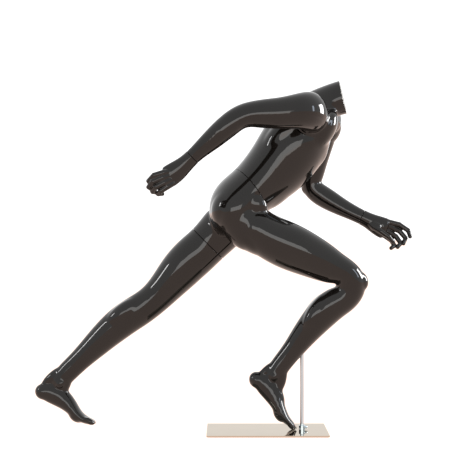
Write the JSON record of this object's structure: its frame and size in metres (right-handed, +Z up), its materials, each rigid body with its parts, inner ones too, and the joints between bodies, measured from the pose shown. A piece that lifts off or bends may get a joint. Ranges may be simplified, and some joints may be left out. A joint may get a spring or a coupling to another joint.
{
  "type": "full body mannequin",
  "caption": "Headless running figure in gloss black shells, parted at waist, thigh, shoulders and wrists, on a chrome calf rod and a polished base plate.",
  "frame": {"origin": "centre of the base's underside, on the floor", "axes": "+Z up, +X the way the figure runs, -Y its right side, which faces the viewer"},
  "size_m": [1.464, 0.5898, 1.3424],
  "materials": {
    "mirror_steel_plate": "polished stainless steel, mirror",
    "backing_sheet": "thin black non-slip sheet",
    "mirror_steel_collar": "turned and polished steel",
    "locking_screw_steel": "bright steel screw head",
    "chrome_rod": "chrome-plated steel rod",
    "fitting_steel": "zinc-plated steel fitting",
    "screw_steel": "zinc-plated countersunk screws",
    "closing_board": "black glass-fibre board, matt",
    "bracket_board": "raw glass-fibre board",
    "black_lacquer": "black gloss lacquer on glass fibre",
    "neck_cap_lacquer": "black gloss lacquer on a flat cap"
  },
  "bodies": {
    "stand": {"base_plate": "mirror_steel_plate", "base_backing_sheet": "backing_sheet", "rod_collar": "mirror_steel_collar", "collar_fixing_screw": "fitting_steel"},
    "locking_screw": {"collar_locking_screw": "locking_screw_steel"},
    "rod": {"support_rod": "chrome_rod"},
    "lower_body": {"lower_body_shell": "black_lacquer", "calf_rod_sleeve": "fitting_steel", "calf_sleeve_bracket": "bracket_board", "waist_socket_board": "closing_board", "waist_socket_disc": "fitting_steel", "waist_socket_screws": "screw_steel", "thigh_socket_board": "closing_board", "thigh_socket_disc": "fitting_steel", "thigh_socket_screws": "screw_steel"},
    "torso": {"torso_shell": "black_lacquer", "neck_cap": "neck_cap_lacquer", "waist_stud_board": "closing_board", "waist_stud_disc": "fitting_steel", "waist_stud_screws": "screw_steel", "right_shoulder_socket_board": "closing_board", "right_shoulder_socket_disc": "fitting_steel", "right_shoulder_socket_screws": "screw_steel", "left_shoulder_socket_board": "closing_board", "left_shoulder_socket_disc": "fitting_steel", "left_shoulder_socket_screws": "screw_steel"},
    "left_leg": {"left_leg_shell": "black_lacquer", "thigh_stud_board": "closing_board", "thigh_stud_disc": "fitting_steel", "thigh_stud_screws": "screw_steel"},
    "right_arm": {"right_arm_shell": "black_lacquer", "right_shoulder_stud_board": "closing_board", "right_shoulder_stud_disc": "fitting_steel", "right_shoulder_stud_screws": "screw_steel", "right_wrist_board": "closing_board", "right_wrist_bush": "fitting_steel"},
    "right_hand_body": {"right_hand": "black_lacquer", "right_wrist_peg": "fitting_steel"},
    "left_arm": {"left_arm_shell": "black_lacquer", "left_shoulder_stud_board": "closing_board", "left_shoulder_stud_disc": "fitting_steel", "left_shoulder_stud_screws": "screw_steel", "left_wrist_board": "closing_board", "left_wrist_bush": "fitting_steel"},
    "left_hand_body": {"left_hand": "black_lacquer", "left_wrist_peg": "fitting_steel"}
  },
  "joints": [
    {"name": "locking_screw_turn", "type": "hinge", "parent": "stand", "child": "locking_screw", "pos_m": [0.1415, 0, 0.01585], "axis": [1, 0, 0], "range_deg": [0, 360]},
    {"name": "rod_swivel", "type": "hinge", "parent": "stand", "child": "rod", "pos_m": [0.1345, 0, 0.0085], "axis": [0, 0, 1], "range_deg": [-60, 60]},
    {"name": "figure_lift", "type": "slide", "parent": "rod", "child": "lower_body", "axis": [0, 0, 1], "range_m": [0, 0.085]},
    {"name": "waist_twist", "type": "hinge", "parent": "lower_body", "child": "torso", "pos_m": [-0.065, 0, 0.92], "axis": [0.7952, 0.155, 0.5862], "range_deg": [0, 30]},
    {"name": "thigh_twist", "type": "hinge", "parent": "lower_body", "child": "left_leg", "pos_m": [-0.227, 0.09, 0.717], "axis": [-0.7061, 0, -0.7081], "range_deg": [0, 40]},
    {"name": "right_shoulder_twist", "type": "hinge", "parent": "torso", "child": "right_arm", "pos_m": [0.161, -0.15, 1.212], "axis": [-0.4017, -0.9138, -0.0603], "range_deg": [0, 45]},
    {"name": "left_shoulder_twist", "type": "hinge", "parent": "torso", "child": "left_arm", "pos_m": [0.236, 0.15, 1.213], "axis": [0.2413, 0.9652, -0.1005], "range_deg": [-45, 0]},
    {"name": "right_wrist_turn", "type": "hinge", "parent": "right_arm", "child": "right_hand_body", "pos_m": [-0.279, -0.241, 1.038], "axis": [-0.7155, 0.1002, -0.6914], "range_deg": [-45, 45]},
    {"name": "left_wrist_turn", "type": "hinge", "parent": "left_arm", "child": "left_hand_body", "pos_m": [0.386, 0.205, 0.821], "axis": [0.9071, -0.1209, -0.4032], "range_deg": [-45, 45]}
  ]
}
